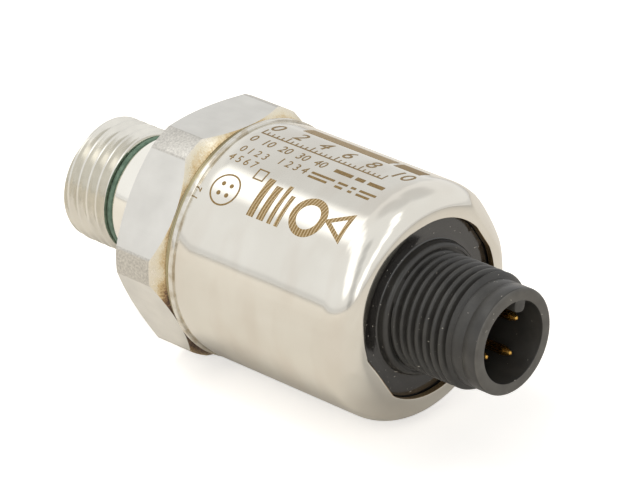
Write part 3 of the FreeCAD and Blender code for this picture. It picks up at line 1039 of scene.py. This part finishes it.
# %% Turn the plug
mouth_x = plug_mouth / mm
disc_x = can_front / mm - 0.8 + crest
disc_r, foot_r, thread_r, sleeve_r, socket_r = 9.08, 6.8, 6.0, 5.4, 4.15
sleeve_x, socket_floor = mouth_x - 3.2, mouth_x - 8.2
skirt_bore, pocket_r, vent_r, floor_thick = 8.6, 4.6, 0.4, 1.5
mouth_round, line_deep = 0.35, 0.025      # a fine line runs round the sleeve
flange_x0, flange_x = flange_back / mm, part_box("connector_seal")[0].x / mm
flange_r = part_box("connector_body")[1].y / mm
board_x1 = span("pin_board")[1] / mm
plug_outline = (
    [(flange_x0, skirt_bore), (flange_x0, flange_r), (flange_x - 1.0, flange_r), (flange_x, flange_r - 1.0),
     (flange_x, disc_r), (disc_x - 0.05, disc_r), (disc_x - 0.01, disc_r - 0.015), (disc_x, disc_r - 0.05)]
    + [(disc_x, 8.2), (disc_x, 7.6), (disc_x, 7.0), (disc_x + 0.05, 6.86), (disc_x + 0.15, foot_r)]
    + arc(disc_x + 0.55, 6.2, 0.6, 90, 25, 6)
    + [(disc_x + 1.12, 6.1), (disc_x + 1.2, thread_r), (sleeve_x - 0.35, thread_r),
       (sleeve_x - 0.2, 5.9), (sleeve_x - 0.02, 5.5), (sleeve_x + 0.05, sleeve_r)]
    + [(sleeve_x + 1.35, sleeve_r), (sleeve_x + 1.38, sleeve_r - line_deep),
       (sleeve_x + 1.44, sleeve_r - line_deep), (sleeve_x + 1.47, sleeve_r)]
    + [(mouth_x - mouth_round, sleeve_r)]
    + arc(mouth_x - mouth_round, sleeve_r - mouth_round, mouth_round, 90, 0, 6)[1:]
    + [(mouth_x, socket_r + 0.12), (mouth_x - 0.03, socket_r + 0.04), (mouth_x - 0.12, socket_r)]
    + [(socket_floor, socket_r), (socket_floor, vent_r), (socket_floor - floor_thick, vent_r)]
    + [(socket_floor - floor_thick, pocket_r), (board_x1, pocket_r), (board_x1, skirt_bore)]
)
plug = turn_on_lathe("connector_moulding", plug_outline, 192)


def press_disc(piece, side, flat):
    """Flatten one side of the disc, to match the flat of the opening."""
    start_edit(piece)
    pick("VERT", lambda p, v: flange_x + 0.01 < p.x / mm < disc_x + 0.01 and side * p.y / mm > flat)
    bpy.ops.transform.resize(value=(1, 0, 1), center_override=(0, side * flat * mm, 0))
    end_edit()


for side, flat in ((1, 8.93), (-1, 8.48)):
    press_disc(plug, side, flat)
plug.rotation_euler.x = math.radians(press_angle)
settle(plug)

# %% [markdown]
# The plug's thread has a pitch of 1 mm. A mould can't hold a sharp crest, so this tool leaves a much
# rounder one than on the stud. The key rib lets the mating plug in only one way round; it is a bar sunk
# a little into the wall and the floor, so that the join leaves no gap.

# %% Cut the moulded thread and join the key
plug_tool = thread_tool(
    "plug_thread_tool", disc_x + 1.0, sleeve_x + 0.02, pitch=1.0, root=5.38, major=thread_r,
    flank=22.0, root_round=0.1, crest_round=0.2, phase=0.97, steps=96,
)
combine(plug, plug_tool, "DIFFERENCE")


def make_key():
    """A rib with a round top, from the socket's floor to just inside the mouth."""
    width, height, sunk, key_angle = 1.45, 1.15, 0.4, 76.0
    key_end = mouth_x - 0.03
    length = key_end - socket_floor + sunk
    clear()
    bpy.ops.mesh.primitive_cube_add(
        size=1,
        location=((key_end - length / 2) * mm, (socket_r + sunk - height / 2 - sunk / 2) * mm, 0),
        scale=(length * mm, (height + sunk) * mm, width * mm),
    )
    key = bpy.context.object
    key.name = "key_rib"
    settle(key)
    start_edit(key)
    inner = (socket_r - height + 0.25) * mm
    pick("EDGE", lambda p, e: p.y < inner and abs(e.verts[0].co.x - e.verts[1].co.x) > 4 * mm)
    bpy.ops.mesh.bevel(offset=0.5 * mm, segments=6, affect="EDGES")
    pick("EDGE", lambda p, e: p.x > (mouth_x - 0.1) * mm)
    bpy.ops.mesh.bevel(offset=0.06 * mm, segments=2, affect="EDGES")
    end_edit()
    key.rotation_euler.x = math.radians(key_angle)
    settle(key)
    return key


combine(plug, make_key(), "UNION")
tidy_normals(plug, 1e-6)
smooth(plug, 42)
print("plug", len(plug.data.polygons), "faces")


def plug_finish(middle, normal):
    """0 satin, 1 the glossy disc, 2 the worn edge of the mouth."""
    if middle.x > mouth_x - 0.2 and radius(middle) > socket_r + 0.03:
        return 2
    return 1 if abs(middle.x - disc_x) < 0.2 and radius(middle) > 6.9 else 0


dress(plug, [plug_plastic, disc_plastic, worn_plastic], plug_finish)
hand_in(plug, "black_plastic", "connector_body")

# %% [markdown]
# ## The pins
#
# Four gold-plated pins stand in the socket. They are all alike, so one is turned, with a round nose,
# and finished on the long axis. The other three are copies with their own meshes, and then each goes
# to its own place.

# %% Turn one pin, copy it and set the four in place
pin_nodes = ["contact_pin_" + str(number) for number in (1, 2, 3, 4)]
pin_boxes = [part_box(node) for node in pin_nodes]
low, high = pin_boxes[0]
pin_r, nose = (high.y - low.y) / 2 / mm, 0.26
x0, x1 = low.x / mm, high.x / mm
pin_outline = [
    (x0, 0.0), (x0, pin_r - 0.05), (x0 + 0.05, pin_r), (x1 - 0.95, pin_r), (x1 - 0.8, pin_r - 0.03),
]
pin_outline += arc(x1 - nose, 0, nose, 70, 0, 6)
pins = [turn_on_lathe("gold_pin_1", pin_outline, 40, closed=False)]
smooth(pins[0], 40)
dress(pins[0], [gold_plate])
for number in (2, 3, 4):
    only(pins[0])
    bpy.ops.object.duplicate()
    pins.append(bpy.context.object)
    pins[-1].name = "gold_pin_" + str(number)
for pin, node, (low, high) in zip(pins, pin_nodes, pin_boxes):
    pin.location = (0, (low.y + high.y) / 2, (low.z + high.z) / 2)
    hand_in(pin, "gold_plate", node)
print(len(pins), "pins with", len({pin.data.name for pin in pins}), "meshes of their own")

# %% [markdown]
# ## Floor, light and camera
#
# The floor is a sheet of matt, pale paper. It keeps the soft shadow, and a little light of its own,
# which only the camera sees, keeps it as pale as the paper is.

# %% The floor
floor_drop = 0.0006
clear()
bpy.ops.mesh.primitive_plane_add(size=6.0, location=(0, 0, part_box("can_housing")[0].z - floor_drop))
floor = bpy.context.object
floor.name = "studio_floor"
paper, paper_shader, paper_place = new_material("pale_studio_paper", Roughness=0.9)
paper_colour = ramp(paper, noise(paper, paper_place, 30.0), [(0.3, "#e6e2dc"), (0.7, "#eae7e2")])
rays = add_node(paper, "ShaderNodeLightPath")
paper_shader.inputs["Emission Color"].default_value = (1, 1, 1, 1)
feed(paper, paper_shader, Base_Color=paper_colour,
     Emission_Strength=maths(paper, "MULTIPLY", rays.outputs["Is Camera Ray"], 0.55))
floor.data.materials.append(paper)

# %% [markdown]
# Polished steel has no colour of its own: it shows the studio. So the world is painted as the studio
# looks from the object. It is white to the camera and even for soft light, and only what the steel
# mirrors has soft places in it: two bright ones, as of windows, three darker ones, as of stands, and a
# dim band low down, as where a wall meets the table.
# Each place is a chain of round patches, given by compass angle, height angle and how wide it is.

# %% The world
world = bpy.data.worlds.new("white_studio")
bpy.context.scene.world = world
world.use_nodes = True
back = world.node_tree.nodes["Background"]
back.inputs["Color"].default_value = (1, 1, 1, 1)
toward = add_node(world, "ShaderNodeTexCoord").outputs["Generated"]


def studio_place(chain, inner, outer):
    """1 inside a chain of round patches (azimuth, elevation) in degrees, fading to 0 outside them."""
    total = 0.0
    for azimuth, elevation in chain:
        a, e = math.radians(azimuth), math.radians(elevation)
        aim = (math.cos(e) * math.cos(a), math.cos(e) * math.sin(a), math.sin(e))
        dot = add_node(world, "ShaderNodeVectorMath", {0: toward}, operation="DOT_PRODUCT")
        dot.inputs[1].default_value = aim
        fade = add_node(
            world, "ShaderNodeMapRange", {0: dot.outputs["Value"]}, interpolation_type="SMOOTHSTEP"
        )
        fade.inputs[1].default_value = math.cos(math.radians(outer))
        fade.inputs[2].default_value = math.cos(math.radians(inner))
        total = maths(world, "MAXIMUM", fade.outputs[0], total)
    return total


near_window = [(21, 50), (15, 40), (6, 30), (-3, 21), (-11, 13), (-18, 6)]
wide_window = [(-56, 22), (-62, 34), (-68, 46), (-80, 57), (-105, 62), (-135, 58), (-160, 51)]
studio = [
    (0.9, studio_place(near_window, 1.5, 8.5)),
    (0.75, studio_place(wide_window, 2, 15)),
    (-0.30, studio_place([(-33, 48), (-35, 36), (-35, 24), (-36, 12), (-36, 2)], 2, 10)),
    (-0.20, studio_place([(78, 48), (95, 52), (70, 66), (100, 78)], 6, 18)),
    (-0.15, studio_place([(130, 16), (135, 27), (143, 38), (155, 47), (170, 51)], 5, 13)),
]
open_studio, soft_light = 0.98, 0.6
band_height, band_sharpness, band_depth = 0.035, 22.0, 0.22
mirrored = open_studio
for amount, place in studio:
    mirrored = maths(world, "ADD", maths(world, "MULTIPLY", place, amount), mirrored)
height = add_node(world, "ShaderNodeSeparateXYZ", {0: toward}).outputs["Z"]
off_band = maths(world, "ABSOLUTE", maths(world, "SUBTRACT", height, band_height))
band = maths(world, "SUBTRACT", 1.0, maths(world, "MULTIPLY", off_band, band_sharpness))
band = maths(world, "MAXIMUM", band, 0.0)
mirrored = maths(world, "SUBTRACT", mirrored, maths(world, "MULTIPLY", band, band_depth))
path = add_node(world, "ShaderNodeLightPath")
glossy = maths(world, "MAXIMUM", path.outputs["Is Glossy Ray"], path.outputs["Is Transmission Ray"])
seen = stretch(world, path.outputs["Is Camera Ray"], 0, 1, soft_light, 1.0)
strength = maths(world, "ADD", maths(world, "MULTIPLY", glossy, mirrored),
                 maths(world, "MULTIPLY", maths(world, "SUBTRACT", 1.0, glossy), seen))
world.node_tree.links.new(strength, back.inputs["Strength"])
print("world with", len(studio), "mirrored places")

# %% [markdown]
# Two square lamps with a faint warm tint give the shadow its direction. Polished steel would show them
# as hard squares, so they are kept out of reflections and the world alone is mirrored.

# %% The soft boxes
middle_x = 0.014


def soft_box(name, place, size, watts, colour="#fffaf2"):
    """A square lamp that looks at the middle of the object."""
    lamp = bpy.data.lights.new(name, "AREA")
    lamp.shape, lamp.size, lamp.energy = "SQUARE", size, watts
    lamp.color = linear(colour)[:3]
    holder = bpy.data.objects.new(name, lamp)
    bpy.context.collection.objects.link(holder)
    holder.location = place
    aim = Vector((middle_x, 0, 0)) - Vector(place)
    holder.rotation_euler = aim.to_track_quat("-Z", "Y").to_euler()
    holder.visible_glossy = False
    return holder


soft_box("key_soft_box", (-0.35, -0.12, 0.62), 0.30, 2.4)
soft_box("fill_soft_box", (0.30, -0.55, 0.35), 0.40, 1.6)

# %% [markdown]
# The camera stands about 0.44 m away with a long lens, a little above the object and to the side of its
# plug. The colours are shown as they are, so the view transform is the plain one.

# %% The camera
eye = bpy.data.cameras.new("camera")
eye.lens, eye.sensor_width = 245.7, 36.0
camera = bpy.data.objects.new("camera", eye)
bpy.context.collection.objects.link(camera)
camera.location = (0.28494, -0.27726, 0.18778)
camera.rotation_euler = [math.radians(a) for a in (64.369, 0.640, 43.795)]
eye.clip_start, eye.clip_end = 0.01, 20
bpy.context.scene.camera = camera
bpy.context.scene.view_settings.view_transform = "Standard"
